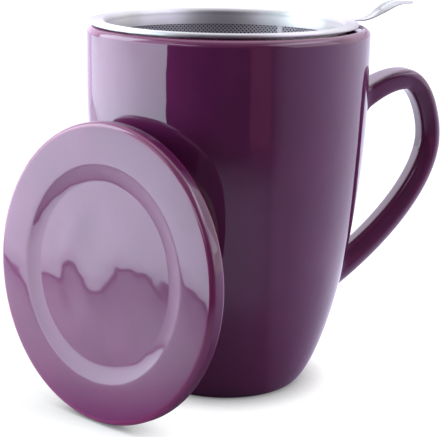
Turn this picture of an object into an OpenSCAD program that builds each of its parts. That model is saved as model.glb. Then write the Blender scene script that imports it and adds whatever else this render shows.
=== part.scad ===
// Tea mug with a lift-out steel infuser basket and a loose lid.
// Millimetres. +Z is up, the table is z = 0, the mug's axis is the Z axis and
// the handle points along +X. The lid stands on the table and leans on the mug.

/* [Mug body] */
// Height of the mug, from the table to the top of its lip
mug_h = 112.6; // [100:0.1:125]
// Outer radius of the mug at its lip
rim_r = 43.3; // [41:0.1:46]
// Outer radius of the foot, where the mug stands on the table
foot_r = 23; // [20:0.1:27]
// How far below the lip the wall reaches its full radius
belly_drop = 17.6; // [10:0.1:30]
// How round the wall is on its way up; more is rounder
bow_up = 1.83; // [1.6:0.01:2.2]
// How sharply the wall turns out of the foot; less is sharper
bow_out = 0.64; // [0.55:0.01:0.8]
// Thickness of the pottery wall, which is also the width of the lip
wall_t = 4.3; // [3.6:0.1:4.8]
// Thickness of the mug's floor above the table
floor_t = 6.5; // [5:0.1:9]
// Height of the round between the inner wall and the floor
floor_round = 5; // [3:0.1:8]
// How wide that round is for its height
floor_sweep = 2; // [1:0.1:2.4]
// Width of the ring that the mug stands on
foot_w = 4; // [3:0.1:6]
// Height of the hollow inside that ring
foot_hollow = 1.8; // [1:0.1:3]

/* [Handle] */
// How far the handle's middle line stands out from the mug's full radius
handle_reach = 24.3; // [20:0.1:32]
// How far the top of the handle's middle line is below the lip
handle_drop = 17.5; // [12:0.1:24]
// How far the upper arm's root is below the top of the handle
handle_root_drop = 9.8; // [6:0.1:14]
// How far the handle's outermost point is below its top
handle_mid_drop = 19.1; // [14:0.1:26]
// How far the lower arm's root is below the top of the handle
handle_low_drop = 67.6; // [60:0.1:74]
// Width of the handle where the upper arm leaves the mug
handle_w_top = 12.5; // [9:0.1:15]
// Width of the handle at its outermost point
handle_w_mid = 9.5; // [7:0.1:13]
// Width of the handle where the lower arm joins the mug
handle_w_low = 9; // [7:0.1:13]
// Thickness of the upper arm, in the plane of the handle
handle_t_top = 6; // [5:0.1:9]
// Thickness of the handle at its outermost point
handle_t_mid = 6.9; // [5:0.1:9]
// Thickness of the lower arm
handle_t_low = 9; // [6:0.1:10]
// How boxy the handle's section is towards the fingers; 2 is round
handle_boxy = 4.5; // [2.5:0.1:6]
// How boxy its outside is; 2 is round
handle_crown = 2.7; // [2:0.1:4]

/* [Infuser rim] */
// Gap left between the seated flange and the lip below it
seat_gap = 0.35; // [0.2:0.05:0.6]
// Thickness of the pressed steel sheet of the rim
sheet_t = 0.5; // [0.4:0.05:0.8]
// Thickness of the flange's rolled outer edge
hem_t = 1.1; // [1:0.05:1.4]
// Width of the rolled edge
hem_w = 1.4; // [1.2:0.05:2]
// How far the flange lies over the lip, past the mouth's wall
flange_lap = 2.15; // [1.8:0.05:3]
// Running gap between the collar and the mouth's wall, all round
collar_gap = 2.25; // [1:0.05:2.6]
// Radius of the bend between the flange and the collar, on its inner side
bend_r = 1.3; // [0.9:0.05:2]
// Depth of the collar below the flange's top
collar_h = 4.8; // [4:0.1:7]
// Gap left between the collar and the mouth's wall on the side it sits to
side_gap = 0.75; // [0.3:0.05:1.2]
// Direction in which the basket has slid in the mouth, in degrees from the handle
slid_to = 165; // [0:5:355]

/* [Infuser tab] */
// Width of the lifting tab at its root and neck
tab_neck_w = 4; // [3:0.1:8]
// Width of the tab at its widest
tab_wide_w = 10.8; // [9:0.1:14]
// How far the tab reaches past the flange's edge
tab_len = 20.2; // [16:0.1:24]
// Thickness of the tab's sheet
tab_t = 0.6; // [0.5:0.05:1]
// How far the tab rises from its root to its end
tab_rise = 5.4; // [3:0.1:8]
// Length over which the tab rises
tab_rise_len = 12.8; // [11:0.1:14]
// Length over which the tab widens
tab_widen_len = 9.6; // [7:0.1:11]
// How far outside the flange's edge the rise and the widening begin
tab_flat = 3; // [1:0.1:4]
// Depth of the notch in the flange's edge that the tab is welded into
tab_notch = 2.6; // [2:0.1:2.8]

/* [Infuser basket] */
// Depth of the basket below the flange's top
basket_depth = 64; // [50:0.5:72]
// Thickness of the perforated sheet
mesh_t = 0.4; // [0.3:0.05:0.5]
// How much smaller the basket's radius is at its base than at its top
basket_taper = 5.8; // [5:0.1:9]
// Length of the wall's upper end that is welded round the collar
weld_lap = 2.5; // [1.5:0.1:3]
// Width of the strip where the wall's two ends are lapped and welded
seam_w = 3; // [2:0.1:5]
// Direction of that strip, in degrees from the handle
seam_at = 38; // [0:1:359]
// Gap left between nested sheets
sheet_gap = 0.05; // [0.02:0.01:0.1]
// Height of the ring that binds the wall to the base
base_ring_h = 4.5; // [3:0.1:8]
// How far that ring turns in under the base
base_ring_in = 3; // [2:0.1:6]

/* [Lid] */
// How far the lid's edge overhangs the mug's rim when the lid is on
lid_overhang = 0.9; // [0:0.1:2]
// Thickness of the lid at its edge
lid_t = 5.6; // [4.5:0.1:8]
// Radius of the round at the edge of the lid's upper face
lid_edge_r = 1.8; // [1:0.1:2.5]
// Radius of the round at the edge of its lower face
lid_back_r = 1.5; // [0.6:0.1:2]
// Radius at which the lid's hollow begins
hollow_r = 32.6; // [30:0.1:36]
// Radius of the flat disc in the hollow
disc_r = 26.9; // [22:0.1:28]
// Depth of the hollow
hollow_d = 1.3; // [0.6:0.1:2]
// Gap between the lid's locating ring and the collar when the lid is on
ring_gap = 0.9; // [0.4:0.1:2]
// Height of the locating ring under the lid
ring_h = 3.5; // [2:0.1:5]
// Width of the locating ring
ring_w = 3; // [2:0.1:5]
// Width of the slope round that ring's end, which leads it into the collar
ring_lead = 0.8; // [0.3:0.1:1.5]

/* [Leaning lid] */
// Angle by which the standing lid leans back from upright
lid_lean = 4.7; // [3:0.1:7]
// Direction of the side of the mug that the lid leans on, in degrees from the handle
lid_at = 213.7; // [150:0.1:270]
// Gap left between the leaning lid's ring and the mug
lean_gap = 0.3; // [0.1:0.05:0.6]

/* [Hidden] */

$fn = 96;
over = 1;                       // how far a cutting shape runs past what it cuts
glaze = [0.36, 0.13, 0.29];
steel = [0.80, 0.81, 0.84];

body_steps = 26;                // rings of the mug's outline between foot and belly
arc_steps = 10;                 // steps of each round in an outline
belly_z = mug_h - belly_drop;
lip_r = wall_t / 2;
mouth_r = rim_r - wall_t;

collar_r = mouth_r - collar_gap;            // outside of the collar
collar_in = collar_r - sheet_t;             // inside of the collar
flange_r = mouth_r + flange_lap;
flange_z = mug_h + seat_gap + hem_t;        // top of the seated flange
tab_root = flange_r - tab_notch;
slide_off = collar_gap - side_gap;
infuser_x = slide_off * cos(slid_to);
infuser_y = slide_off * sin(slid_to);

wall_top_r = collar_r + sheet_gap;          // inside of the perforated wall at its top
basket_low_r = wall_top_r - basket_taper;   // inside of the wall at the base
ring_top = base_ring_h - basket_depth;      // top of the base ring, below the flange's top
ring_low = sheet_t - basket_depth;          // inner floor of the base ring

lid_r = rim_r + lid_overhang;
ring_r = collar_in - ring_gap;
lid_z = (lid_r - lid_back_r) * cos(lid_lean) + (lid_t - lid_back_r) * sin(lid_lean) + lid_back_r;
touch_z = lid_z - (lid_t + ring_h) * sin(lid_lean) + ring_r * cos(lid_lean);
lid_s = mug_r(touch_z) + lean_gap + (lid_t + ring_h) * cos(lid_lean) + ring_r * sin(lid_lean);

// Outer radius of the mug at a height: it leaves the foot steeply, bows
// outwards, and runs straight from the belly to the lip.
function mug_r(z) =
    foot_r + (rim_r - foot_r) * pow(1 - pow(1 - min(z / belly_z, 1), bow_up), bow_out);

// Points on an arc about [x, y], from one angle to another
function arc(x, y, r, from, to, steps = arc_steps) =
    [for (i = [0 : steps]) let (a = from + (to - from) * i / steps) [x + r * cos(a), y + r * sin(a)]];

// Heights of the outline's rings, closer together near the foot
function body_z(i) = belly_z * pow(i / body_steps, 2);

function outer_outline() = concat(
    [for (i = [0 : body_steps]) [mug_r(body_z(i)), body_z(i)]],
    arc(rim_r - lip_r, mug_h - lip_r, lip_r, 0, 90));

// The inner wall follows the outer one, a wall's thickness inside it, down to
// the round above the floor.
floor_z = floor_t + floor_round;
floor_r = mug_r(floor_z) - wall_t;
floor_flat_r = floor_r - floor_sweep * floor_round;
function inner_outline() = concat(
    arc(rim_r - lip_r, mug_h - lip_r, lip_r, 90, 180),
    [for (i = [body_steps : -1 : 0]) if (body_z(i) > floor_z) [mug_r(body_z(i)) - wall_t, body_z(i)]],
    [for (i = [0 : arc_steps]) let (a = 90 * i / arc_steps)
        [floor_flat_r + (floor_r - floor_flat_r) * cos(a), floor_z - floor_round * sin(a)]],
    [[0, floor_t]]);

module mug_body()
    color(glaze) rotate_extrude() polygon(concat(
        outer_outline(),
        inner_outline(),
        [[0, foot_hollow],
         [foot_r - foot_w - foot_hollow, foot_hollow],
         [foot_r - foot_w, 0]]));

// The space inside the mug's outer skin
module mug_space()
    rotate_extrude() polygon(concat(outer_outline(), [[0, mug_h], [0, 0]]));

// A cubic curve through four control points, and its direction
function bez(p, t) = pow(1 - t, 3) * p[0] + 3 * pow(1 - t, 2) * t * p[1]
                   + 3 * (1 - t) * t * t * p[2] + pow(t, 3) * p[3];
function bez_dir(p, t) = let (d = pow(1 - t, 2) * (p[1] - p[0]) + 2 * (1 - t) * t * (p[2] - p[1])
                                + t * t * (p[3] - p[2])) d / norm(d);

// The handle's middle line, [distance from the axis, height], as three curves:
// up out of the wall, over the top, and down to the lower root. Both roots
// start inside the wall, and mug_handle() cuts them back to its skin.
top_z = mug_h - handle_drop;
mid_z = top_z - handle_mid_drop;
low_z = top_z - handle_low_drop;
out_r = rim_r + handle_reach;
top_r = rim_r + 0.6 * handle_reach;         // the top lies nearer the loop than the mug
root_r = rim_r - wall_t;
low_root_r = mug_r(low_z) - wall_t - over;
root_pull = 8;                  // how far each control point is from its end
top_pull = 5;
loop_pull = 0.21 * handle_reach;
mid_pull = 0.46 * handle_mid_drop;
down_pull = 0.27 * (handle_low_drop - handle_mid_drop);
low_pull = 0.44 * handle_reach;
low_rise = 0.34 * (handle_low_drop - handle_mid_drop);
curves = [
    [[root_r, top_z - handle_root_drop], [root_r + root_pull, top_z - 0.28 * handle_root_drop],
     [top_r - top_pull, top_z], [top_r, top_z]],
    [[top_r, top_z], [top_r + loop_pull, top_z], [out_r, mid_z + mid_pull], [out_r, mid_z]],
    [[out_r, mid_z], [out_r, mid_z - down_pull], [rim_r + low_pull, low_z + low_rise], [low_root_r, low_z]]];
curve_steps = [10, 12, 20];

// One station of the handle: [point, direction, width, thickness]
function station(k, t) = [
    bez(curves[k], t),
    bez_dir(curves[k], t),
    k < 2 ? handle_w_top + (handle_w_mid - handle_w_top) * (k + t) / 2
          : handle_w_mid + (handle_w_low - handle_w_mid) * t,
    k < 2 ? handle_t_top + (handle_t_mid - handle_t_top) * (k + t) / 2
          : handle_t_mid + (handle_t_low - handle_t_mid) * t];
stations = concat(
    [for (k = [0 : 2]) for (i = [0 : curve_steps[k] - 1]) station(k, i / curve_steps[k])],
    [station(2, 1)]);

// The handle's section: a superellipse, boxy towards the fingers and crowned
// on the outside, so that the side faces end in soft creases.
section_n = 24;
function bulge(v, n) = sign(v) * pow(abs(v), 2 / n);
function section_point(s, a) =
    let (n = sin(a) > 0 ? handle_crown : handle_boxy,
         side = s[2] / 2 * bulge(cos(a), n),
         out = s[3] / 2 * bulge(sin(a), n),
         p = s[0] + out * [-s[1][1], s[1][0]])
    [p[0], side, p[1]];

module handle_bar() {
    count = len(stations);
    points = [for (s = stations) for (j = [0 : section_n - 1]) section_point(s, 360 * j / section_n)];
    sides = [for (i = [0 : count - 2]) for (j = [0 : section_n - 1])
        let (k = (j + 1) % section_n, a = i * section_n, b = a + section_n)
        [a + j, a + k, b + k, b + j]];
    ends = [[for (j = [section_n - 1 : -1 : 0]) j],
            [for (j = [0 : section_n - 1]) (count - 1) * section_n + j]];
    polyhedron(points, concat(sides, ends), convexity = 4);
}

module mug_handle()
    color(glaze) difference() {
        handle_bar();
        mug_space();
    }

// Everything of the infuser is drawn about its own axis, with the flange's top
// at z = 0, and put in its place here.
module seated() translate([infuser_x, infuser_y, flange_z]) children();

module infuser_rim()
    color(steel) seated() difference() {
        rotate_extrude() polygon(concat(
            [[collar_in, -collar_h]],
            arc(collar_in + bend_r, -bend_r, bend_r, 180, 90),
            arc(flange_r - hem_t / 2, -hem_t / 2, hem_t / 2, 90, -90),
            [[flange_r - hem_w, -hem_t],
             [flange_r - hem_w, -sheet_t]],
            arc(collar_in + bend_r, -bend_r, bend_r - sheet_t, 90, 180),
            [[collar_r, -collar_h]]));
        // the notch that the tab is welded into
        translate([tab_root - sheet_gap, -tab_neck_w / 2 - sheet_gap, -hem_t - over])
            cube([tab_notch + over, tab_neck_w + 2 * sheet_gap, hem_t + 2 * over]);
    }

// The tab is a strip let in flush with the flange's top. It leaves the flange
// flat and then rises in one smooth step.
tab_end = flange_r + tab_len;
tab_steps = 24;
function step01(t) = let (c = min(max(t, 0), 1)) c * c * (3 - 2 * c);
function tab_z(x) = -tab_t / 2 + tab_rise * step01((x - flange_r - tab_flat) / tab_rise_len);
function tab_x(i) = tab_root + (tab_end - tab_root) * i / tab_steps;
function tab_tilt(x) = atan((tab_z(x + 0.01) - tab_z(x - 0.01)) / 0.02);
function tab_face(i, side) = let (x = tab_x(i), a = tab_tilt(x))
    [x - side * tab_t / 2 * sin(a), tab_z(x) + side * tab_t / 2 * cos(a)];

// Half the tab's width: the neck, a smooth widening and a round end
function tab_half(x) =
    let (wide = tab_wide_w / 2, neck = tab_neck_w / 2,
         grow = neck + (wide - neck) * step01((x - flange_r - tab_flat) / tab_widen_len),
         past = max(x - (tab_end - wide), 0))
    min(grow, sqrt(max(wide * wide - past * past, 0)));
tab_plan_n = 40;
function tab_plan_x(i) = tab_root + (tab_end - tab_root) * sin(90 * i / tab_plan_n);

module infuser_tab()
    color(steel) seated() intersection() {
        translate([0, tab_wide_w, 0]) rotate([90, 0, 0]) linear_extrude(2 * tab_wide_w)
            polygon(concat(
                [for (i = [0 : tab_steps]) tab_face(i, 1)],
                [for (i = [tab_steps : -1 : 0]) tab_face(i, -1)]));
        translate([0, 0, -tab_t - over]) linear_extrude(tab_rise + tab_t + 2 * over)
            polygon(concat(
                [for (i = [0 : tab_plan_n]) [tab_plan_x(i), -tab_half(tab_plan_x(i))]],
                [for (i = [tab_plan_n - 1 : -1 : 0]) [tab_plan_x(i), tab_half(tab_plan_x(i))]]));
    }

// Inner side of the perforated wall, from its welded top to the base ring
wall_line = [
    [wall_top_r, weld_lap - collar_h],
    [wall_top_r, -collar_h],
    [basket_low_r, ring_top],
    [basket_low_r, ring_low]];
function wall_outline(inside, outside) = concat(
    [for (p = wall_line) p + [inside, 0]],
    [for (i = [len(wall_line) - 1 : -1 : 0]) wall_line[i] + [outside, 0]]);

module infuser_wall()
    color(steel) seated() {
        rotate_extrude() polygon(wall_outline(0, mesh_t));
        // the lapped ends of the sheet, a strip down the outside
        intersection() {
            rotate_extrude() polygon(wall_outline(mesh_t / 2, 2 * mesh_t));
            rotate([0, 0, seam_at]) translate([0, -seam_w / 2, ring_top + sheet_gap])
                cube([rim_r, seam_w, basket_depth - base_ring_h - collar_h - sheet_gap]);
        }
    }

module infuser_base_ring()
    color(steel) seated() rotate_extrude() polygon([
        [basket_low_r - base_ring_in, -basket_depth],
        [basket_low_r + mesh_t + sheet_gap + sheet_t, -basket_depth],
        [basket_low_r + mesh_t + sheet_gap + sheet_t, ring_top],
        [basket_low_r + mesh_t + sheet_gap, ring_top],
        [basket_low_r + mesh_t + sheet_gap, ring_low],
        [basket_low_r - base_ring_in, ring_low]]);

module infuser_base()
    color(steel) seated() translate([0, 0, ring_low])
        cylinder(r = basket_low_r - sheet_gap, h = mesh_t);

// The lid's outline, from the middle of its upper face round its edge to the
// middle of its lower face; its upper face is z = 0.
module lid_solid()
    rotate_extrude() polygon(concat(
        [[0, -hollow_d], [disc_r, -hollow_d], [hollow_r, 0]],
        arc(lid_r - lid_edge_r, -lid_edge_r, lid_edge_r, 90, 0),
        arc(lid_r - lid_back_r, lid_back_r - lid_t, lid_back_r, 0, -90),
        [[ring_r, -lid_t],
         [ring_r, ring_lead - lid_t - ring_h],
         [ring_r - ring_lead, -lid_t - ring_h],
         [ring_r - ring_w, -lid_t - ring_h],
         [ring_r - ring_w, -lid_t],
         [0, -lid_t]]));

module lid()
    color(glaze) translate([lid_s * cos(lid_at), lid_s * sin(lid_at), lid_z])
        rotate([0, 90 - lid_lean, lid_at]) lid_solid();

mug_body();
mug_handle();
infuser_rim();
infuser_tab();
infuser_wall();
infuser_base_ring();
infuser_base();
lid();
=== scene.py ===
from math import atan, cos, degrees, pi, radians, sin

import bpy
import numpy as np
from mathutils import Matrix


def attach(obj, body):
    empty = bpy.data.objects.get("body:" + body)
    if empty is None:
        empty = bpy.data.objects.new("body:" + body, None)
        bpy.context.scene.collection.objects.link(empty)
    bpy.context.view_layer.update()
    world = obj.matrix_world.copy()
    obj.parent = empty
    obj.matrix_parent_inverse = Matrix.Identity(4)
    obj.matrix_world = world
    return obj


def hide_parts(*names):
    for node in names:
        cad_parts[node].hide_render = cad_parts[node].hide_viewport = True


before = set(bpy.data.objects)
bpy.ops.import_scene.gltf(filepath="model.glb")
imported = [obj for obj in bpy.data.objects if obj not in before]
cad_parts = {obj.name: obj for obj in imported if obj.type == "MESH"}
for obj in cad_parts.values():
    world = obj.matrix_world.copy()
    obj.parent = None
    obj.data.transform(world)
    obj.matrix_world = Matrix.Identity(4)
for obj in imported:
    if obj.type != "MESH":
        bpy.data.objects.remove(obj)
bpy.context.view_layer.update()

# ---------------------------------------------------------------- Camera
# A long lens from a little above the rim, square to the handle but for 15
# degrees that it stands round towards the lid. Sizes in this file are
# millimetres until a mesh or a lamp is made, and MM turns them into metres.
# Distances within a shader are metres.
MM = 0.001
EYE = np.array([-105.4, -393.4, 153.9])
HEADING = radians(75.25)        # direction of view over the table, from +X
DIP = radians(14.12)            # how far it looks down
TILT = radians(0.947)           # how far the camera is turned about its lens
LENS = 108.3                    # focal length
SENSOR = 36                     # width of the sensor

right = np.array([sin(HEADING), -cos(HEADING), 0])
ahead = np.array([cos(HEADING), sin(HEADING), 0])
view_dir = ahead * cos(DIP) - np.array([0, 0, sin(DIP)])
up = np.cross(right, view_dir)
axes = np.column_stack([cos(TILT) * right + sin(TILT) * up, cos(TILT) * up - sin(TILT) * right, -view_dir])
camera = bpy.data.objects.new("camera", bpy.data.cameras.new("camera"))
bpy.context.scene.collection.objects.link(camera)
camera.matrix_world = Matrix.Translation(EYE * MM) @ Matrix(axes.tolist()).to_4x4()
camera.data.lens = LENS
camera.data.sensor_width = SENSOR
camera.data.clip_start = 0.01
bpy.context.scene.camera = camera
bpy.context.scene.view_settings.view_transform = "Standard"

# ---------------------------------------------------------------- Studio
# A white table under a soft overhead lamp, with a curved wall of diffused
# light on the left and a white backdrop. The room behind the camera is dark,
# and the table's far front is painted dark, as shade, which gives the glaze
# its dark middle.


class Wire:
    """A value on its way through a shader: one output socket, on which
    Python's operators work. 1 - 2 * mask adds the Math nodes that work it
    out. A Wire with no socket only stands for its tree, to add nodes with."""

    def __init__(self, tree, socket=None):
        self.tree, self.socket = tree, socket

    def node(self, kind, inputs=(), out=0, stops=None, **settings):
        """Adds a node of one type: its settings first, then a colour ramp's
        stops, then the values or links of its sockets. Returns the Wire of
        its output `out`, a name or a number."""
        made = self.tree.nodes.new("ShaderNode" + kind)
        for name, value in settings.items():
            setattr(made, name, value)
        if stops:
            ramp = made.color_ramp.elements
            while len(ramp) < len(stops):
                ramp.new(0.5)
            for element, (place, colour) in zip(ramp, stops):
                element.position, element.color = place, (*colour, 1)
        for name, value in dict(inputs).items():
            if isinstance(value, Wire):
                self.tree.links.new(value.socket, made.inputs[name])
            else:
                made.inputs[name].default_value = value
        return Wire(self.tree, made.outputs[out])

    def math(self, operation, a, b=0.0):
        return self.node("Math", {0: a, 1: b}, operation=operation)

    def __add__(self, other):
        return self.math("ADD", self, other)

    def __sub__(self, other):
        return self.math("SUBTRACT", self, other)

    def __rsub__(self, other):
        return self.math("SUBTRACT", other, self)

    def __mul__(self, other):
        return self.math("MULTIPLY", self, other)

    def __truediv__(self, other):
        return self.math("DIVIDE", self, other)

    def __pow__(self, other):
        return self.math("POWER", self, other)

    __radd__, __rmul__ = __add__, __mul__

    def clamp(self, low, high, to_low=0.0, to_high=1.0):
        """Carries low..high smoothly to to_low..to_high and holds it there."""
        return self.node("MapRange", {"Value": self, "From Min": low, "From Max": high,
                                      "To Min": to_low, "To Max": to_high}, interpolation_type="SMOOTHSTEP")

    def along(self, way):
        """This vector's length along a direction: their dot product."""
        return self.node("VectorMath", {0: self, 1: tuple(way)}, out="Value", operation="DOT_PRODUCT")

    def blend(self, first, second):
        """Mixes two colours, each a Wire or (r, g, b), by this value. They go
        to sockets 6 and 7 of a Mix node, whose output 2 is the colour."""
        ends = {6: first, 7: second}
        ends = {k: v if isinstance(v, Wire) else (*v, 1) for k, v in ends.items()}
        return self.node("Mix", {0: self, **ends}, out=2, data_type="RGBA")

    def plug(self, kind, socket):
        """Leads this value into a socket of the tree's node of that type."""
        target = next(n for n in self.tree.nodes if n.bl_idname == "ShaderNode" + kind)
        self.tree.links.new(self.socket, target.inputs[socket])


def new_material(name):
    """An empty material that holds only its output, and its tree's Wire."""
    material = bpy.data.materials.new(name)
    material.use_nodes = True
    material.node_tree.nodes.clear()
    material.node_tree.nodes.new("ShaderNodeOutputMaterial")
    return material, Wire(material.node_tree)


# The table is white; the dark colour below is painted shade on its far front.
PALE = (1, 1, 1.02)             # the table left of the object, in the light
FAR_PAINTED_SHADE = (0.03, 0.028, 0.032)     # its far end, in front
LID_FOOT = (-0.062, -0.044, 0)  # where the lid stands on it, in metres
# Painted light: the colours of the table's glow, which glaze and steel mirror in place of the lit table.
TABLE_STOPS = (                 # its mirrored colour, from in front of the object to beyond it
    (0.01, (0.036, 0.028, 0.036)), (0.08, (0.07, 0.05, 0.08)), (0.10, (0.17, 0.11, 0.19)),
    (0.14, (0.27, 0.19, 0.31)), (0.25, (0.37, 0.28, 0.46)), (0.38, (0.46, 0.37, 0.58)),
    (0.50, (0.55, 0.48, 0.70)), (0.62, (0.68, 0.62, 0.85)), (0.75, (0.77, 0.73, 0.95)),
    (0.90, (0.80, 0.78, 0.99)))
ROOM_STOPS = (                  # the room's colour, from behind the camera to beyond the object
    (0.03, (0.032, 0.028, 0.036)), (0.16, (0.085, 0.073, 0.09)), (0.30, (0.30, 0.28, 0.32)),
    (0.50, (0.60, 0.58, 0.63)), (0.76, (0.94, 0.93, 0.97)), (0.95, (0.98, 0.98, 1.0)))


def make_table():
    """The table, by who looks at it: `own`, whose colour has light and shade
    painted in, lights the object and is mirrored in its left side; `fading`,
    a glow of painted light, is mirrored in its right side; and `white` is for
    the camera. Places are metres from the mug's axis: `aside` to the right of
    it, `beyond` it as the camera looks, and `away` from it."""
    material, tree = new_material("table_white")
    spot = tree.node("TexCoord", out="Object")
    beyond, aside = spot.along(ahead), spot.along(right)
    away = tree.node("VectorMath", {0: spot}, out="Value", operation="LENGTH")

    # The table's colour has light and shade painted in: palest on the left and
    # beyond, where the wall of light falls; about half that on the right, and at
    # the foot of the wall of light, a painted shadow; painted dark in front, as
    # shade; and pale where the lid stands, a painted pool of light over its
    # contact shadow. from_wall is the distance to the line of the wall's near end.
    on_left = 1 - aside.clamp(-0.09, -0.01)
    from_wall = 0.2533 + 0.819 * aside + 0.574 * beyond
    painted_wall_foot_shade = tree.math("MAXIMUM", from_wall.clamp(-0.01, 0.10, 0.55, 1), beyond.clamp(0.05, 0.15))
    painted_side_light = 0.48 + 0.42 * tree.math("MAXIMUM", on_left, beyond.clamp(-0.05, 0.05))
    to_lid = tree.node("VectorMath", {0: spot, 1: LID_FOOT}, out="Value", operation="DISTANCE")
    # The share of PALE in the table's colour: painted light and shade, and next a painted pool of light
    # round the lid's foot.
    shade = beyond.clamp(-0.21, -0.07) * painted_wall_foot_shade * painted_side_light
    shade = tree.math("MAXIMUM", shade, 1 - to_lid.clamp(0.025, 0.060))
    own = tree.node("BsdfDiffuse", {"Color": shade.blend(FAR_PAINTED_SHADE, PALE)})

    # White, but darker close under the object, where less of the air is open.
    # That shadow is wider and deeper on the left. Far out there is none, so
    # the foot of the wall of light leaves no line.
    reach = aside.clamp(-0.07, 0.0, 0.022, 0.015)
    full = aside.clamp(-0.07, 0.0, 1.0, 0.88)
    open_air = tree.node("AmbientOcclusion", {"Distance": reach}, out="AO", samples=8)
    seen = tree.math("MAXIMUM", open_air.clamp(0.05, full, 0.13, 1.0), away.clamp(0.19, 0.23))
    glow = tree.node("Emission", {"Color": (1, 1, 1, 1), "Strength": seen})
    matt = tree.node("BsdfDiffuse", {"Color": aside.clamp(-0.07, 0.0, 0.07, 0.28)})
    white = tree.node("AddShader", {0: matt, 1: glow})

    # An emission of painted light, which glaze and steel mirror in place of
    # the lit table: from pale beside the object to nearly black in front of it,
    # painted shade there. `sidelong` is 0 beside it and -1 in front. `near`
    # makes it paler close by, a painted pool of light, and `streak` adds a faint
    # crimson patch of painted light far in front, which the body mirrors as an
    # upright band.
    sidelong = beyond / away
    level = tree.node("ValToRGB", {0: sidelong * 0.5 + 0.5}, stops=TABLE_STOPS)
    near = (1 - away.clamp(0.16, 0.33)) * (1 - sidelong.clamp(-1.0, -0.6))
    near *= 0.16 + 0.18 * away.clamp(0.06, 0.09)
    streak = away.clamp(0.26, 0.38) * sidelong.clamp(-0.962, -0.950) * (1 - sidelong.clamp(-0.86, -0.82))
    for mask, colour in ((near, (0.75, 0.62, 0.98)), (streak, (0.17, 0.04, 0.07))):
        level = tree.node("VectorMath", {0: mask, 1: colour, 2: level}, operation="MULTIPLY_ADD")
    # Painted shade: the glow darkens close to the object, where less of the air is open.
    open_air = tree.node("AmbientOcclusion", {"Distance": 0.08}, out="AO", samples=8)
    fading = tree.node("Emission", {"Color": level, "Strength": 1.6 * open_air})

    # `fading` holds right of the mug, and beyond it except close to the wall.
    behind = tree.math("MAXIMUM", aside.clamp(-0.32, -0.22), beyond.clamp(0.35, 0.50))
    faded = tree.math("MAXIMUM", aside.clamp(-0.12, -0.02), beyond.clamp(0.03, 0.12) * behind)
    mirrored = tree.node("LightPath", out="Is Glossy Ray")
    plain = tree.node("MixShader", {0: mirrored * faded, 1: own, 2: fading})
    by_camera = tree.node("LightPath", out="Is Camera Ray")
    tree.node("MixShader", {0: by_camera, 1: plain, 2: white}).plug("OutputMaterial", "Surface")
    return material


def make_room():
    """The world. To the camera it is `plain` white. Otherwise it is `room`,
    which grows darker towards the camera's side, but glaze and steel see
    `pale` beyond the object, most of all on the left, faintly overhead, and
    in two bright places: high on the right, and on the left in front. These
    are what the steel and the lid's edge mirror."""
    world = bpy.data.worlds.new("studio")
    bpy.context.scene.world = world
    world.use_nodes = True
    world.node_tree.nodes.clear()
    world.node_tree.nodes.new("ShaderNodeOutputWorld")
    tree = Wire(world.node_tree)
    gaze = tree.node("TexCoord", out="Generated")
    above = gaze.along((0, 0, 1))
    facing = gaze.along((ahead - [0, 0, 0.6]) / np.linalg.norm(ahead - [0, 0, 0.6]))
    far_left = gaze.along(0.77 * ahead - 0.64 * right).clamp(0.60, 0.95)
    high_right = above.clamp(0.50, 0.70) * gaze.along(right).clamp(0.3, 0.7)
    left_front = above.clamp(0.20, 0.40) * gaze.along(-0.69 * right - 0.724 * ahead).clamp(0.82, 0.94)
    strength = 1.12 + 0.8 * far_left + 1.6 * high_right + 3.2 * left_front
    light = tree.node("ValToRGB", {0: facing * 0.5 + 0.5}, stops=ROOM_STOPS)
    room = tree.node("Background", {"Color": light, "Strength": 1.8})
    plain = tree.node("Background", {"Color": (1, 1, 1, 1), "Strength": 1})
    pale = tree.node("Background", {"Color": (0.93, 0.87, 1.08, 1), "Strength": strength})
    bright = tree.math("MAXIMUM", high_right, left_front)
    bright = tree.math("MAXIMUM", bright, above.clamp(0.35, 0.8) * 0.28)
    mirrored = tree.node("LightPath", out="Is Glossy Ray")
    reflected = mirrored * tree.math("MAXIMUM", facing.clamp(0.25, 0.65), bright)
    around = tree.node("MixShader", {0: reflected, 1: room, 2: pale})
    by_camera = tree.node("LightPath", out="Is Camera Ray")
    tree.node("MixShader", {0: by_camera, 1: around, 2: plain}).plug("OutputWorld", "Surface")


floor_mesh = bpy.data.meshes.new("table")
floor_mesh.from_pydata([(-4, -4, 0), (4, -4, 0), (4, 4, 0), (-4, 4, 0)], [], [(0, 1, 2, 3)])
floor_mesh.materials.append(make_table())
floor = bpy.data.objects.new("table", floor_mesh)
bpy.context.scene.collection.objects.link(floor)
make_room()


def from_camera(points):
    """Points given as (to the right, beyond, above) the mug: the same points
    in the part's own frame, in metres."""
    points = np.asarray(points, float)
    return (points[..., :1] * right + points[..., 1:2] * ahead + points[..., 2:] * [0, 0, 1]) * MM


def cubic(ends, t):
    """The cubic curve through a and d, led by b and c, at shares t: (1 - t)^3
    a + 3 (1 - t)^2 t b + 3 (1 - t) t^2 c + t^3 d."""
    a, b, c, d = ends
    return (1 - t) ** 3 * a + 3 * (1 - t) ** 2 * t * b + 3 * (1 - t) * t ** 2 * c + t ** 3 * d


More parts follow.
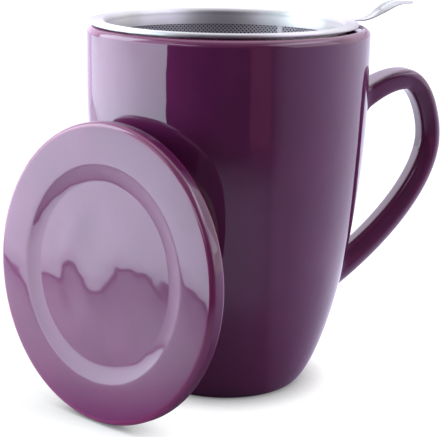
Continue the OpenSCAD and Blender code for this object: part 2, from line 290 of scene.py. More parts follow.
# The wall of light: a vertical sheet along a cubic curve on the table. Its
# glow, where 1 is white, peaks beside the object and falls to both ends and
# towards its foot. It is given by height, and by bearing in degrees from the
# right, over beyond, to the left.
WALL_RUN = np.array([[-182, -181], [-280, -42], [-345, 95], [-345, 430]])
TOP_SEEN = 5                    # the brightest glow that glaze and steel see
run = cubic(WALL_RUN, np.linspace(0, 1, 61)[:, None])
rise = np.concatenate([[2, 6, 12, 20], np.linspace(30, 640, 40)])
grid = (len(run), len(rise))
sheet = np.stack([np.broadcast_to(run[:, :1], grid), np.broadcast_to(run[:, 1:], grid),
                  np.broadcast_to(rise, grid)], -1)
bearing = np.degrees(np.arctan2(run[:, 1], run[:, 0])) % 360
share = np.interp(bearing, (95, 125, 150, 172, 188, 205, 224), (1.7, 2.2, 3.3, 4.2, 4.1, 3.45, 3.0))
low = share[:, None] * np.interp(rise, (2, 12, 30, 75, 95), (0.66, 0.88, 0.93, 0.93, 0.0))
beside = np.interp(rise, (75, 95, 150, 175, 350, 420), (0.0, 3.7, 3.7, 9.5, 9.5, 0.0))
in_front = np.interp(rise, (75, 95, 150, 175, 350, 420, 640), (0.0, 3.1, 3.1, 1.3, 1.3, 0.35, 0.35))
glow = low + (np.interp(bearing, (145, 155, 185, 195), (0, 1, 1, 0))[:, None] * beside
              + np.interp(bearing, (185, 195), (0, 1))[:, None] * in_front)
at = np.arange(glow.size).reshape(grid)
quads = np.stack([at[:-1, :-1], at[1:, :-1], at[1:, 1:], at[:-1, 1:]], -1).reshape(-1, 4)
wall_mesh = bpy.data.meshes.new("light_wall")
wall_mesh.from_pydata(from_camera(sheet.reshape(-1, 3)).tolist(), [], quads.tolist())
wall_mesh.attributes.new("glow", "FLOAT", "POINT").data.foreach_set("value", glow.ravel().astype(np.float32))
light_wall = bpy.data.objects.new("light_wall", wall_mesh)
bpy.context.scene.collection.objects.link(light_wall)
light_wall.visible_camera = False

# Glaze and steel see at most TOP_SEEN of its glow, and see through the wall
# where it hardly glows.
material, tree = new_material("light_wall")
glow = tree.node("Attribute", out="Fac", attribute_name="glow")
mirrored = tree.node("LightPath", out="Is Glossy Ray")
seen_glow = glow - mirrored * tree.math("MAXIMUM", glow - TOP_SEEN, 0)
lit = tree.node("Emission", {"Color": (0.85, 0.96, 1.09, 1), "Strength": seen_glow})
clear = tree.node("BsdfTransparent")
see_through = mirrored * (1 - glow.clamp(0, 0.3))
tree.node("MixShader", {0: see_through, 1: lit, 2: clear}).plug("OutputMaterial", "Surface")
wall_mesh.materials.append(material)


def softbox(name, place, target, side, glow, tint=(1, 1, 1)):
    """A square lamp at a place given as (to the right, beyond, above) the
    mug, turned to a target given the same way. glow is the brightness of its
    face, where 1 is white: its power is pi times its area times that."""
    lamp = bpy.data.lights.new(name, "AREA")
    lamp.size = side * MM
    lamp.energy = glow * pi * lamp.size ** 2
    lamp.color = tint
    spot, back = from_camera(place), from_camera(place) - from_camera(target)
    back /= np.linalg.norm(back)
    across = np.cross(ahead, back)
    across /= np.linalg.norm(across)
    turn = np.column_stack([across, np.cross(back, across), back])
    box = bpy.data.objects.new(name, lamp)
    bpy.context.scene.collection.objects.link(box)
    box.matrix_world = Matrix.Translation(spot) @ Matrix(turn.tolist()).to_4x4()
    box.visible_camera = False


softbox("overhead", (0, 150, 700), (0, 150, 0), 620, 0.55)
softbox("from_right", (503, -203, 399), (0, 0, 60), 600, 0.90, (1, 0.96, 1.22))

# ---------------------------------------------------------------- Mug body
# Slip-cast stoneware in one piece, dipped in a deep plum glaze that runs
# thin over the lip. It stands on a dry foot ring, where the glaze was wiped
# off before firing.
MUG_H = 112.6
RIM_R = 43.3
FOOT_R = 23.0
BELLY_Z = 95.0                  # height at which the wall becomes upright
WALL = 4.3
FLOOR_Z = 6.5                   # height of the inside floor
FLOOR_ROUND = 5.0
FOOT_W = 4.0                    # width of the ring it stands on
FOOT_HOLLOW = 1.8               # how far the underside lies above the table
AXIS_R = 0.5                    # where outlines stop, short of the axis
SHARP = radians(35)             # an edge that bends more than this stays crisp


def mug_radius(z):
    """The mug's outer radius at a height: foot radius plus the rest times
    (1 - (1 - height share) ^ 1.83) ^ 0.64, and the full radius above the
    belly."""
    share = np.clip(np.asarray(z, float) / BELLY_Z, 0, 1)
    return FOOT_R + (RIM_R - FOOT_R) * (1 - (1 - share) ** 1.83) ** 0.64


def arc(x, z, r, start, end, steps):
    """Points round (x, z) at radius r, evenly spaced from start to end degrees."""
    a = np.radians(np.linspace(start, end, steps + 1))
    return np.column_stack([x + r * np.cos(a), z + r * np.sin(a)])


def rounded(corners, steps=6):
    """An outline whose corners (x, z, radius) are replaced by arcs. An arc
    touches both sides at radius * tan(half the turn) from the corner; it is
    drawn as the quadratic curve through those two points."""
    c = np.array(corners, float)
    p, out = c[:, :2], [c[0, :2]]
    for k in range(1, len(c) - 1):
        a, b = p[k - 1] - p[k], p[k + 1] - p[k]
        a, b = a / np.linalg.norm(a), b / np.linalg.norm(b)
        turn = np.arccos(np.clip(-a @ b, -1, 1))
        cut = c[k, 2] * np.tan(turn / 2)
        t = np.linspace(0, 1, steps + 1)[:, None] if cut > 0 else np.array([[0.5]])
        out.extend((1 - t) ** 2 * (p[k] + a * cut) + 2 * t * (1 - t) * p[k] + t ** 2 * (p[k] + b * cut))
    return np.array(out + [p[-1]])


def edge_of(outline, full):
    """How sharply an outline bends outwards at each point, from 0 to 1: the
    turn of its direction over the length there, where `full` radians a
    millimetre or more is 1. The glaze runs thin there."""
    step = np.diff(outline, axis=0)
    length = np.linalg.norm(step, axis=1) + 1e-9
    heading = np.unwrap(np.arctan2(step[:, 1], step[:, 0]))
    bend = np.diff(heading) / (0.5 * (length[1:] + length[:-1]))
    return np.clip(np.concatenate([[0], bend, [0]]) / full, 0, 1)


def tubes(points, loop=False, marks=()):
    """Closed tubes over points[tube, ring, corner, xyz]. Quads join each ring
    to the next and the last corner of a ring to its first. A tube's ends are
    fans about their middles, or with loop its last ring joins its first. The
    faces are turned outwards, by the sign of the volume that they enclose."""
    count, rings, sides = points.shape[:3]
    at = np.arange(count * rings * sides).reshape(count, rings, sides)
    after = np.roll(at, -1, axis=2)
    if loop:
        a, b, c, d = at, after, np.roll(after, -1, axis=1), np.roll(at, -1, axis=1)
    else:
        a, b, c, d = at[:, :-1], after[:, :-1], after[:, 1:], at[:, 1:]
    part = {"points": points.reshape(-1, 3), "quads": np.stack([a, b, c, d], -1).reshape(-1, 4),
            "tris": np.zeros((0, 3), int),
            "marks": {k: np.broadcast_to(v, at.shape).ravel() for k, v in dict(marks).items()}}
    if not loop:
        base = at.size + np.arange(count)[:, None]
        first = np.stack([np.broadcast_to(base, after[:, 0].shape), after[:, 0], at[:, 0]], -1)
        last = np.stack([np.broadcast_to(base + count, after[:, 0].shape), at[:, -1], after[:, -1]], -1)
        part["tris"] = np.concatenate([first.reshape(-1, 3), last.reshape(-1, 3)])
        middles = np.concatenate([points[:, 0].mean(1), points[:, -1].mean(1)])
        part["points"] = np.concatenate([part["points"], middles])
        for k, v in part["marks"].items():
            v = v.reshape(at.shape)
            part["marks"][k] = np.concatenate([v.ravel(), v[:, 0].mean(1), v[:, -1].mean(1)])
    faces = part["points"][np.concatenate([part["quads"][:, :3], part["quads"][:, [0, 2, 3]], part["tris"]])]
    if np.einsum("ij,ij->", faces[:, 0], np.cross(faces[:, 1], faces[:, 2])) < 0:
        part["quads"], part["tris"] = part["quads"][:, ::-1], part["tris"][:, ::-1]
    return part


def turned(outline, sides, loop=False, marks=()):
    """An outline of (radius, height) points carried round the Z axis: point
    i, j is at radius_i * (cos, sin) of angle_j and at height_i. An outline
    that is no loop stops short of the axis, where two fans close it."""
    a = np.linspace(0, 2 * pi, sides, endpoint=False)
    points = np.stack([outline[:, :1] * np.cos(a), outline[:, :1] * np.sin(a),
                       np.broadcast_to(outline[:, 1:], (len(outline), sides))], -1)
    marks = {k: v[None, :, None] for k, v in dict(marks).items()}
    return tubes(points[None], loop, marks)


def piece(name, parts, body, node, material, place=(0, 0, 0), turn=np.eye(3)):
    """One object from the parts of a piece: every point is turned, moved by
    `place` and made metres. It rides on its body, stands for its CAD node and
    takes the material it is given."""
    points, quads, tris, marks, start = [], [], [], {}, 0
    for part in parts:
        points.append(part["points"])
        quads.append(part["quads"] + start)
        tris.append(part["tris"] + start)
        for k in ("edge", "bare"):
            marks.setdefault(k, []).append(part["marks"].get(k, np.zeros(len(part["points"]))))
        start += len(part["points"])
    points = (np.concatenate(points) @ turn.T + np.asarray(place)) * MM
    mesh = bpy.data.meshes.new(name)
    mesh.from_pydata(points.tolist(), [], np.concatenate(quads).tolist() + np.concatenate(tris).tolist())
    for k, v in marks.items():
        v = np.concatenate(v)
        if v.any():
            mesh.attributes.new(k, "FLOAT", "POINT").data.foreach_set("value", v.astype(np.float32))
    mesh.shade_smooth()
    mesh.set_sharp_from_angle(angle=SHARP)
    mesh.materials.append(material)
    made = bpy.data.objects.new(name, mesh)
    bpy.context.scene.collection.objects.link(made)
    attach(made, body)
    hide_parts(node)


def make_glaze():
    """Plum glaze: a dark body colour that clouds a little, turns crimson and
    lighter where the piece's `edge` mark says that it runs thin, and gives
    way to dry clay where its `bare` mark says so. Its surface is like glass,
    with the faint swell that a dipped glaze keeps."""
    material, tree = new_material("plum_glaze")
    spot = tree.node("TexCoord", out="Object")
    cloud = tree.node("TexNoise", {"Vector": spot, "Scale": 55, "Detail": 3, "Roughness": 0.6})
    speck = tree.node("TexNoise", {"Vector": spot, "Scale": 2600, "Detail": 2, "Roughness": 0.5})
    swell = tree.node("TexNoise", {"Vector": spot, "Scale": 60, "Detail": 2, "Roughness": 0.4})
    edge = tree.node("Attribute", out="Fac", attribute_name="edge")
    bare = tree.node("Attribute", out="Fac", attribute_name="bare")
    body = cloud.clamp(0.3, 0.7).blend((0.132, 0.0182, 0.083), (0.154, 0.0215, 0.098))
    thin = (edge * (0.75 + 0.5 * cloud)).clamp(0.1, 1.0).blend(body, (0.27, 0.034, 0.125))
    clay = speck.clamp(0.35, 0.6).blend((0.52, 0.45, 0.37), (0.62, 0.56, 0.48))
    is_clay = bare.clamp(0.4, 0.6)
    bump = tree.node("Bump", {"Height": swell + speck * 0.003, "Strength": 1, "Distance": 0.00022})
    tree.node("BsdfPrincipled", {
        "Base Color": is_clay.blend(thin, clay),
        "Roughness": is_clay * 0.75 + 0.035 + speck.clamp(0.5, 0.8) * 0.015,
        "IOR": 1.6, "Specular IOR Level": 0.7, "Normal": bump}).plug("OutputMaterial", "Surface")
    return material


glaze = make_glaze()

# The outline runs from the underside out over the foot ring, up the outside,
# over the lip and down the inside. There a quarter ellipse, twice as wide as
# high, leads on to the floor.
side_z = np.linspace(0.02, 1, 90) ** 2 * BELLY_Z
outer = np.column_stack([mug_radius(side_z), side_z])
floor_top = FLOOR_Z + FLOOR_ROUND
inner_z = side_z[side_z > floor_top][::-1]
inner = np.column_stack([mug_radius(inner_z) - WALL, inner_z])
floor_r = float(mug_radius(floor_top)) - WALL
sweep = arc(0, 0, 1, 0, -90, 16) * [2 * FLOOR_ROUND, FLOOR_ROUND] + [floor_r - 2 * FLOOR_ROUND, floor_top]
foot_in = FOOT_R - FOOT_W
under = rounded([(AXIS_R, FOOT_HOLLOW, 0), (foot_in - FOOT_HOLLOW, FOOT_HOLLOW, 1.2),
                 (foot_in, 0, 0.5), (FOOT_R, 0, 0)])
lip = arc(RIM_R - WALL / 2, MUG_H - WALL / 2, WALL / 2, 0, 180, 28)
mug_line = np.concatenate([under, outer, lip, inner, sweep[1:], [[6, FLOOR_Z], [AXIS_R, FLOOR_Z]]])
on_foot = (mug_line[:, 1] < 0.25) & (mug_line[:, 0] > foot_in - 0.6)
mug_marks = {"edge": edge_of(mug_line, 0.9), "bare": on_foot * 1.0}
piece("body_glazed", [turned(mug_line, 384, marks=mug_marks)], "mug", "mug_body", glaze)

# ---------------------------------------------------------------- Handle
# A pulled strap of the same clay, luted to the wall before glazing: flat
# towards the fingers, crowned outside, and thickest in its lower arm.
REACH = 24.3                    # how far its middle line stands out from the rim
TOP_Z = MUG_H - 17.5            # heights of that line: at its top,
MID_Z = TOP_Z - 19.1            # at its outermost point
LOW_Z = TOP_Z - 67.6            # and at its lower root
OUT_R = RIM_R + REACH
TOP_R = RIM_R + 0.6 * REACH
LOW_R = float(mug_radius(LOW_Z)) - WALL - 1
STATIONS = (0, 2, 3)            # the top root, the outermost point, the low root
WIDTHS = (12.5, 9.5, 9.0)
THICKS = (6.0, 6.9, 9.0)
JOIN = 1.6                      # radius of the clay smoothed round each root
SUNK = 1.2                      # how far the bar goes on under the mug's skin
HANDLE_SIDES = 80

bends = np.array([
    [[RIM_R - WALL, TOP_Z - 9.8], [RIM_R - WALL + 8, TOP_Z - 2.74], [TOP_R - 5, TOP_Z], [TOP_R, TOP_Z]],
    [[TOP_R, TOP_Z], [TOP_R + 5.1, TOP_Z], [OUT_R, MID_Z + 8.79], [OUT_R, MID_Z]],
    [[OUT_R, MID_Z], [OUT_R, MID_Z - 13.1], [RIM_R + 10.69, LOW_Z + 16.49], [LOW_R, LOW_Z]]])


def strap(share):
    """The handle at shares 0..3 of its three cubic curves, one whole number
    a curve: middle line, direction, width and thickness, as arrays."""
    k = np.minimum(share.astype(int), 2)
    t = (share - k)[:, None]
    a, b, c, d = np.moveaxis(bends[k], 1, 0)
    way = (1 - t) ** 2 * (b - a) + 2 * (1 - t) * t * (c - b) + t ** 2 * (d - c)
    way /= np.linalg.norm(way, axis=1)[:, None]
    width, thick = (np.interp(share, STATIONS, sizes) for sizes in (WIDTHS, THICKS))
    return cubic((a, b, c, d), t), way, width, thick


def superellipse(sides, inner_power, outer_power):
    """A strip's section, across and outwards, in half widths: the signed
    2/n-th powers of cosine and sine, boxy inside and rounder outside. The
    powers may be arrays of (rings, 1)."""
    a = np.linspace(0, 2 * pi, sides, endpoint=False)
    n = np.where(np.sin(a) > 0, outer_power, inner_power)
    power = lambda v: np.sign(v) * np.abs(v) ** (2 / n)
    return power(np.cos(a)), power(np.sin(a))


def handle_points(rings=170, sides=HANDLE_SIDES):
    """The strap's skin: its section carried along its middle line, narrower
    towards the fingers past the top root, widened by a quarter-round fillet
    near the mug, and held SUNK under the mug's skin where it would go
    deeper. The fillet grows by what the skin that is already widened leaves
    clear of the mug, so it takes two passes."""
    line, way, width, thick = strap(np.linspace(0, 3, rings))
    share = np.linspace(0, 3, rings)[:, None]
    across, outward = superellipse(sides, 5.5, np.interp(share, (0.5, 1.1, 1.7), (7.0, 3.6, 2.3)))
    across = across * (1 - 0.24 * np.clip((0.3 - outward) / 1.3, 0, 1) * np.clip(share - 0.3, 0, 1))
    off = np.column_stack([-way[:, 1], way[:, 0]])
    grow = np.zeros((rings, sides))
    for _ in range(2):
        side = across * (width[:, None] / 2 + grow)
        out = outward * (thick[:, None] / 2 + grow)
        x = line[:, :1] + off[:, :1] * out
        z = line[:, 1:] + off[:, 1:] * out
        clear = np.hypot(x, side) - mug_radius(z)
        near = np.clip(1 - clear / (2 * JOIN), 0, 1)
        grow = JOIN * (1 - np.sqrt(1 - near ** 2))
    round_r = np.hypot(x, side)
    held = np.maximum(round_r, mug_radius(z) - SUNK) / round_r
    return np.stack([x * held, side * held, z], -1)


# The glaze runs thin along the corners of the strap's section.
mean_section = np.column_stack(superellipse(HANDLE_SIDES, 4.5, 2.7)) * [5, 3.5]
corner_mark = 0.8 * edge_of(mean_section, 1.2)
handle_part = tubes(handle_points()[None], marks={"edge": corner_mark[None, None, :]})
piece("handle_glazed", [handle_part], "mug", "mug_handle", glaze)

# ---------------------------------------------------------------- Infuser rim
# Pressed stainless sheet: a flat flange that rests on the lip, its edge
# rolled under, bent down inside into a short collar. It was spun, so its
# fine brushing runs round it.
FLANGE_Z = 114.05               # height of the flange's top
MOUTH_R = RIM_R - WALL
COLLAR_R = MOUTH_R - 2.25
COLLAR_IN = COLLAR_R - 0.5
FLANGE_R = MOUTH_R + 2.15
HEM_T = 1.1                     # the rolled edge: its thickness and width
HEM_W = 1.4
SHEET = 0.5
COLLAR_H = 4.8
BEND = 1.3                      # inside radius between flange and collar
SLID = 1.5                      # how far the infuser has slid off the mug's axis
SLID_TO = radians(165)
SEAT = np.array([SLID * cos(SLID_TO), SLID * sin(SLID_TO), FLANGE_Z])


def make_steel(name, colour, below, rough, streak, brushed):
    """Stainless steel with fine streaks round the Z axis through SEAT: a
    noise stretched along the angle, which varies the roughness and lifts a
    bump of strength `streak`. `below` is its colour from 2.2 mm under the
    flange's top, where a paler colour than `colour` is painted light, `rough`
    its mean roughness, and `brushed` the share by which the brushing spreads
    what it mirrors."""
    material, tree = new_material(name)
    spot = tree.node("TexCoord", out="Object")
    spot = tree.node("VectorMath", {0: spot, 1: tuple(SEAT * MM)}, operation="SUBTRACT")
    x, y, z = (tree.node("SeparateXYZ", {0: spot}, out=axis) for axis in "XYZ")
    radius = (x * x + y * y) ** 0.5
    angle = tree.math("ARCTAN2", y, x)

    # One streak is about a third of a radian long and a ninth of a millimetre
    # wide.
    lane = tree.node("CombineXYZ", {0: angle * 3.0, 1: radius * 9000, 2: z * 9000})
    streaks = tree.node("TexNoise", {"Vector": lane, "Scale": 1, "Detail": 3, "Roughness": 0.7})
    smudge = tree.node("TexNoise", {"Vector": spot, "Scale": 90, "Detail": 2, "Roughness": 0.5})
    bump = tree.node("Bump", {"Height": streaks, "Strength": streak, "Distance": 0.00003})
    # Painted light: from 2.2 mm under the flange's top the colour turns to the one given for below, which on
    # the rim is paler than the top.
    tone = z.clamp(-0.0022, -0.0008).blend(below, colour)
    handled = smudge.clamp(0.3, 0.7).blend((0.94, 0.94, 0.94), (1, 1, 1))
    tone = tree.node("Mix", {0: 1.0, 6: tone, 7: handled}, out=2, data_type="RGBA", blend_type="MULTIPLY")
    tree.node("BsdfPrincipled", {
        "Base Color": tone, "Metallic": 1.0, "Anisotropic": brushed, "Anisotropic Rotation": 0.25,
        "Roughness": rough + (streaks - 0.5) * 0.10 + (smudge - 0.5) * 0.05,
        "Normal": bump}).plug("OutputMaterial", "Surface")
    return material


# Its collar is paler than its flange's top: painted light on the collar.
rim_steel = make_steel("rim_steel", (0.69, 0.705, 0.68), (0.98, 0.975, 0.96), 0.46, 0.4, 0.9)
rim_line = np.concatenate([
    [[COLLAR_IN, -COLLAR_H / 2]],
    arc(COLLAR_IN + BEND, -BEND, BEND, 180, 90, 14),
    [[FLANGE_R - 2, 0.0]],
    arc(FLANGE_R - HEM_T / 2, -HEM_T / 2, HEM_T / 2, 90, -90, 18),
    arc(FLANGE_R - HEM_W, -HEM_T + 0.2, 0.2, -90, -180, 4),
    [[FLANGE_R - HEM_W - 0.1, -SHEET]],
    arc(COLLAR_IN + BEND, -BEND, BEND - SHEET, 90, 180, 8),
    [[COLLAR_R, -COLLAR_H / 2]],
    arc(COLLAR_R - 0.1, -COLLAR_H + 0.1, 0.1, 0, -90, 3),
    arc(COLLAR_IN + 0.1, -COLLAR_H + 0.1, 0.1, -90, -180, 3)])
piece("rim_pressed", [turned(rim_line, 320, loop=True)], "infuser", "infuser_rim",
      rim_steel, SEAT)

# ---------------------------------------------------------------- Infuser tab
# A strip of the same sheet, blanked with a narrow neck and a wide round end,
# bent up to clear the mug and welded flush into the flange's edge. It is
# brushed the same way and a little greyer.
TAB_T = 0.6
TAB_NECK = 4.0                  # its width at the neck
TAB_WIDE = 10.8                 # and at the round end
TAB_ROOT = FLANGE_R - 1.2
TAB_END = FLANGE_R + 20.2
TAB_START = FLANGE_R + 3.0      # where it begins to rise and to widen
TAB_RISE = 5.4
TAB_RISES_IN = 12.8             # over which length it rises
TAB_WIDENS_IN = 9.6             # and widens
TAB_FLARE = 1.4                 # how much further each side reaches at the weld


def tab_points(rings=110, sides=28):
    """The tab: stations from inside the hem to the round end, closer there;
    its height a smoothstep, its half width a smoothstep that meets a circle
    at the end and flares by an exponential at the flange."""
    reach = TAB_ROOT + (TAB_END - TAB_ROOT) * np.sin(np.linspace(0, pi / 2, rings))
    smooth = lambda t: np.clip(t, 0, 1) ** 2 * (3 - 2 * np.clip(t, 0, 1))
    height = lambda x: -TAB_T / 2 - 0.02 + TAB_RISE * smooth((x - TAB_START) / TAB_RISES_IN)
    slope = (height(reach + 0.01) - height(reach - 0.01)) / 0.02
    half = (TAB_NECK + (TAB_WIDE - TAB_NECK) * smooth((reach - TAB_START) / TAB_WIDENS_IN)) / 2
    half += TAB_FLARE * np.exp(-np.clip(reach - FLANGE_R + 0.3, 0, None) / 0.9)
    past = np.clip(reach - (TAB_END - TAB_WIDE / 2), 0, None)
    half = np.minimum(half, np.sqrt(np.clip((TAB_WIDE / 2) ** 2 - past ** 2, 0.0004, None)))
    across, thick = superellipse(sides, 3.5, 3.5)
    lift = thick[None] * np.minimum(TAB_T / 2, half[:, None])
    lean = np.arctan(slope)[:, None]
    return np.stack([reach[:, None] - lift * np.sin(lean), half[:, None] * across,
                     height(reach)[:, None] + lift * np.cos(lean)], -1)


tab_steel = make_steel("tab_steel", (0.60, 0.63, 0.61), (0.60, 0.63, 0.61), 0.46, 0.4, 0.9)
piece("tab_blanked", [tubes(tab_points()[None])], "infuser", "infuser_tab", tab_steel, SEAT)

# ---------------------------------------------------------------- Infuser wall
# Thin stainless sheet, etched through with staggered diamond holes a
# millimetre and a third apart, rolled into a tapered sleeve, lapped and
# welded down one side, and welded round the collar.
MESH_T = 0.4
NEST = 0.05                     # gap between nested sheets
LAYER = 0.15                    # how far one set of bars lies off the other
TOP_IN = COLLAR_R + NEST
LOW_IN = TOP_IN - 5.8
DEPTH = 64.0                    # of the basket, under the flange's top
RING_H = 4.5                    # height of the band at its foot
STRANDS = 176                   # diagonal bars each way round
STRAND_W = 0.36
HOLE_RISE = 1.26                # height of one diamond and its bar
SEAM_AT = radians(45)
SEAM_W = 1.9


def wall_radius(z):
    """Inside of the sleeve at a depth: straight in the collar and in the
    base ring, and a straight taper between them."""
    return np.interp(z, [-DEPTH + RING_H, -COLLAR_H], [LOW_IN, TOP_IN])


def strands(hand, inner, top, low, stations=26):
    """The bars between the holes that climb one way. Bar k runs at angle
    k + hand * (depth / hole height) in steps of the hole pitch, so that the
    two hands cross in diamonds. Its four corners are half a width across its
    run and lie on `inner` and one bar's thickness outside that."""
    z = np.linspace(low, top, stations)
    pitch = 2 * pi / STRANDS
    angle = (np.arange(STRANDS)[:, None] + hand * z / HOLE_RISE) * pitch
    r = wall_radius(z)
    lean = np.arctan(hand * r * pitch / HOLE_RISE)     # from upright, towards +angle
    corners = []
    for side, out in ((-1, 0), (1, 0), (1, 1), (-1, 1)):
        shift = side * STRAND_W / 2
        a = angle + shift * np.cos(lean) / r
        bar_r = r + inner + out * (MESH_T - LAYER)
        bar_z = np.broadcast_to(z - shift * np.sin(lean), a.shape)
        corners.append(np.stack([bar_r * np.cos(a), bar_r * np.sin(a), bar_z], -1))
    return tubes(np.stack(corners, 2))


def band(top, low):
    """A plain strip of the sheet right round, between two depths."""
    r_low, r_top = wall_radius(np.array([low, top]))
    line = np.array([[r_low, low], [r_low + MESH_T, low], [r_top + MESH_T, top], [r_top, top]])
    return turned(line, 240, loop=True)


def seam(steps=40):
    """The lapped ends of the sheet: a strip down the sleeve, a little proud
    inside and out. Its half width swells by up to a tenth of a millimetre,
    as the sum of two sines of the depth."""
    z = np.linspace(-DEPTH + 1, -COLLAR_H + 2.2, steps)
    r = wall_radius(z)
    swell = 0.06 * np.sin(z * 2.1) + 0.05 * np.sin(z * 5.3 + 1)
    corners = []
    for side, out in ((-1, 0.02), (-0.4, -0.07), (0.4, -0.07), (1, 0.02), (1, 2 * MESH_T), (-1, 2 * MESH_T)):
        a = SEAM_AT + side * (SEAM_W / 2 + swell) / r
        corners.append(np.stack([(r + out) * np.cos(a), (r + out) * np.sin(a), z], -1))
    return tubes(np.stack(corners, 1)[None])


mesh_steel = make_steel("mesh_steel", (0.57, 0.55, 0.58), (0.57, 0.55, 0.58), 0.34, 0.3, 0.0)
wall_top, wall_low = -COLLAR_H + 0.3, -DEPTH + RING_H - 0.6
wall_parts = [strands(1, 0.0, wall_top, wall_low), strands(-1, LAYER, wall_top, wall_low),
              band(-COLLAR_H + 2.5, wall_top - 0.4), band(wall_low + 0.4, -DEPTH + 0.6), seam()]
piece("sleeve_etched", wall_parts, "infuser", "infuser_wall",
      mesh_steel, SEAT)

# ---------------------------------------------------------------- Base ring
# A spun band of plain sheet that grips the sleeve's end and turns in under
# the base disc.
BAND_IN = LOW_IN + MESH_T + NEST
BAND_OPEN = LOW_IN - 3          # radius of the opening in its foot
band_line = rounded([
    (BAND_IN, -DEPTH + RING_H / 2, 0), (BAND_IN, -DEPTH + RING_H, 0.2),
    (BAND_IN + SHEET, -DEPTH + RING_H, 0.2), (BAND_IN + SHEET, -DEPTH, 0.9),
    (BAND_OPEN, -DEPTH, 0.2), (BAND_OPEN, -DEPTH + SHEET, 0.2),
    (BAND_IN, -DEPTH + SHEET, 0.4), (BAND_IN, -DEPTH + RING_H / 2, 0)])[:-1]
piece("base_band", [turned(band_line, 240, loop=True)], "infuser", "infuser_base_ring",
      rim_steel, SEAT)

# ---------------------------------------------------------------- Base disc
# A disc of the same etched sheet, whose holes are a little finer, with a
# plain border that lies on the ring and is welded to it.
BARS_R = 29.6                   # how far the bars run, under the border
BAR_PITCH = 0.9
BORDER_IN = 29.2
BORDER_OUT = LOW_IN - NEST


def cross_bars(turn, low, high):
    """Straight bars side by side across a circle, each as long as the circle
    is wide there: half length = sqrt(radius^2 - offset^2)."""
    offset = np.arange(-BARS_R + BAR_PITCH, BARS_R, BAR_PITCH)
    half = np.sqrt(BARS_R ** 2 - offset ** 2)
    ends = np.stack([-half, half], 1)
    corners = [np.stack([ends, np.broadcast_to((offset + side * STRAND_W / 2)[:, None], ends.shape),
                         np.full(ends.shape, level)], -1)
               for side, level in ((-1, low), (1, low), (1, high), (-1, high))]
    points = np.stack(corners, 2)
    c, s = cos(turn), sin(turn)
    return tubes(points @ np.array([[c, s, 0], [-s, c, 0], [0, 0, 1]]))


disc_z = -DEPTH + SHEET
disc_top = disc_z + MESH_T
border = np.array([[BORDER_IN, disc_z], [BORDER_OUT, disc_z], [BORDER_OUT, disc_top], [BORDER_IN, disc_top]])
disc_parts = [turned(border, 240, loop=True), cross_bars(radians(45), disc_z, disc_top - LAYER),
              cross_bars(radians(-45), disc_z + LAYER, disc_top)]
piece("base_etched", disc_parts, "infuser", "infuser_base",
      mesh_steel, SEAT)

# ---------------------------------------------------------------- Lid
# A thrown disc in the same glaze, standing on its edge against the mug: a
# flat rim, a sloping band down to a sunk disc, and underneath a ring that
# drops into the infuser's collar. That ring's end is dry clay.
LID_R = 44.2
LID_T = 5.6
LEAN = radians(4.7)             # how far it leans from upright
LID_AT = radians(213.7)         # which side of the mug it leans on, from +X
LID_GAP = 0.3                   # between its ring and the mug's wall
DISC_R = 26.9
DISC_SUNK = 0.01                # the fine step round the disc
RING_R = COLLAR_IN - 0.9
RING_W = 3.0
RING_DROP = 3.5
BACK_R = 1.5                    # radius of the lower edge
EDGE_R = 1.8                    # and of the upper one
# How steeply the upper face falls outwards, by radius: up the band round the
# disc, over its soft edge, level halfway across the rim, down to its edge.
FACE_R = (DISC_R, 28.5, 31.3, 32.6, 34.3, 38.5, 41.0, 42.4)
FACE_FALL = (-0.13, -0.18, -0.31, -0.07, -0.03, 0.0, 0.025, 0.06)
# The sunk disc's faint swell: its height, its pitch across and down the lid
# as it leans, how far its crests wander, and the width over which it starts.
RIPPLE = 0.14
RIPPLE_ACROSS = 27.0
RIPPLE_DOWN = 44.0
RIPPLE_WANDER = 4.5
RIPPLE_START = 9.0

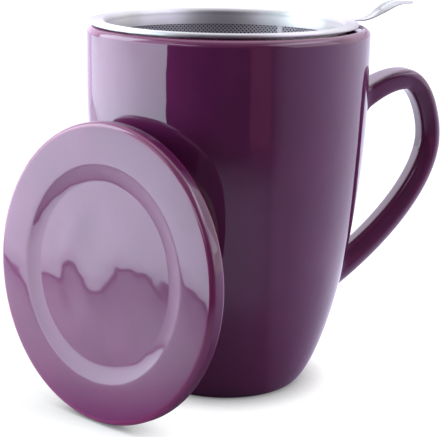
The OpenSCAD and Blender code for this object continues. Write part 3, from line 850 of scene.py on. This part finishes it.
face_r = np.linspace(FACE_R[-1], DISC_R, 125)
fall = np.interp(face_r, FACE_R, FACE_FALL)
face = np.cumsum(np.concatenate([[0], (fall[1:] + fall[:-1]) / 2 * (face_r[:-1] - face_r[1:])]))
face -= face.max()
disc_level = face[-1] - DISC_SUNK
ring_end = -LID_T - RING_DROP
lid_line = np.concatenate([
    rounded([(AXIS_R, -LID_T, 0), (RING_R - RING_W, -LID_T, 1.0), (RING_R - RING_W, ring_end, 0.6),
             (RING_R, ring_end, 0.9), (RING_R, -LID_T, 0.5), (LID_R - BACK_R, -LID_T, 0)]),
    arc(LID_R - BACK_R, BACK_R - LID_T, BACK_R, -90, 0, 14)[1:],
    arc(LID_R - EDGE_R, face[0] - EDGE_R, EDGE_R, 0, 90 - degrees(atan(FACE_FALL[-1])), 18)[:-1],
    np.column_stack([face_r, face]),
    rounded([(DISC_R, face[-1], 0), (DISC_R - 0.25, disc_level, 0.1), (DISC_R - 6, disc_level, 0),
             (AXIS_R, disc_level, 0)], 3)[1:-1],
    np.column_stack([np.linspace(DISC_R - 7, AXIS_R, 34), np.full(34, disc_level)])])
on_ring = lid_line[:, 1] < ring_end + 0.15
lid_marks = {"edge": edge_of(lid_line, 0.9), "bare": on_ring * 1.0}
lid_part = turned(lid_line, 320, marks=lid_marks)

# These are views of the part's points, so the last line lifts them in place.
down, side, level = lid_part["points"].T
inside = np.clip((DISC_R - np.hypot(down, side)) / RIPPLE_START, 0, 1) * (level > -LID_T / 2)
warped = side + RIPPLE_WANDER * np.cos(pi * side / RIPPLE_ACROSS)
level += inside * RIPPLE * np.cos(2 * pi * warped / RIPPLE_ACROSS) * np.sin(2 * pi * down / RIPPLE_DOWN)

# Its lower edge stands on the table. The top of its ring's end is LID_GAP
# from the mug, at the height touch_z.
lid_z = (LID_R - BACK_R) * cos(LEAN) + (LID_T - BACK_R) * sin(LEAN) + BACK_R
touch_z = lid_z + ring_end * sin(LEAN) + RING_R * cos(LEAN)
lid_out = float(mug_radius(touch_z)) + LID_GAP - ring_end * cos(LEAN) + RING_R * sin(LEAN)
tip = pi / 2 - LEAN
upright = np.array([[cos(tip), 0, sin(tip)], [0, 1, 0], [-sin(tip), 0, cos(tip)]])
swing = np.array([[cos(LID_AT), -sin(LID_AT), 0], [sin(LID_AT), cos(LID_AT), 0], [0, 0, 1]])
piece("lid_glazed", [lid_part], "lid", "lid", glaze,
      (lid_out * cos(LID_AT), lid_out * sin(LID_AT), lid_z), swing @ upright)
